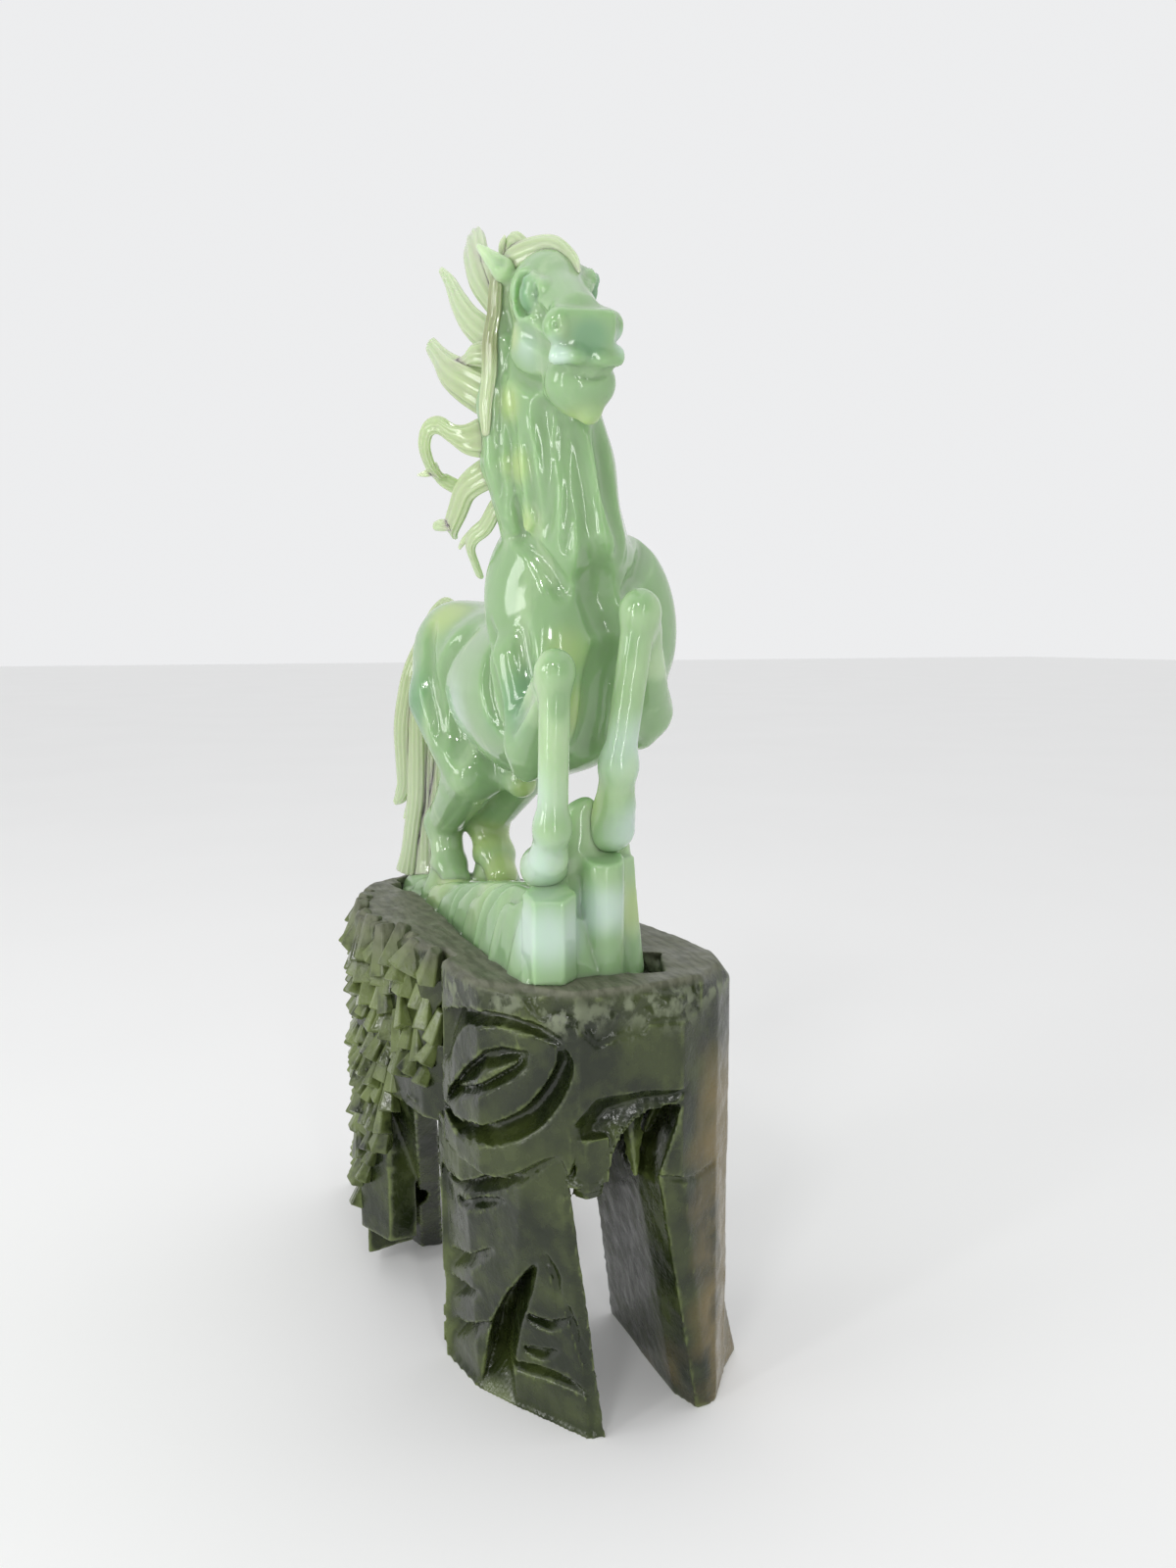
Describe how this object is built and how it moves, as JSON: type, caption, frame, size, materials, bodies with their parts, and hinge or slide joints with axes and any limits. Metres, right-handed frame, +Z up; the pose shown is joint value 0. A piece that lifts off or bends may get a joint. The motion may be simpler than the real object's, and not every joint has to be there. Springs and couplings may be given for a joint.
{
  "type": "jade horse figurine",
  "caption": "Carved pale jade horse rearing over a rock, standing loose in the pocket of a dark carved stone stand with splayed legs",
  "frame": {"origin": "centre of the bounding box's footprint, on the surface that the stand rests on", "axes": "+Z up, +X the way the horse faces, +Y the horse's left"},
  "size_m": [0.166, 0.0901, 0.3001],
  "materials": {
    "pale_jade": "polished, translucent",
    "dark_jade": "ground, half polished"
  },
  "bodies": {
    "stand": {"stand_block": "dark_jade", "leg_front_right": "dark_jade", "leg_front_left": "dark_jade", "leg_rear_right": "dark_jade", "leg_rear_left": "dark_jade", "bark_chips": "dark_jade", "knot_boss": "dark_jade", "arch_drips": "dark_jade"},
    "figure": {"rock": "pale_jade", "rock_columns": "pale_jade", "hoof_bridge": "pale_jade", "torso": "pale_jade", "neck": "pale_jade", "head": "pale_jade", "lower_jaw": "pale_jade", "foreleg_right": "pale_jade", "foreleg_left": "pale_jade", "hind_leg_right": "pale_jade", "hind_leg_left": "pale_jade", "mane": "pale_jade", "forelock": "pale_jade", "tail": "pale_jade"}
  },
  "joints": [
    {"name": "figure_lift", "type": "slide", "parent": "stand", "child": "figure", "axis": [0, 0, 1], "range_m": [0, 0.06]}
  ]
}
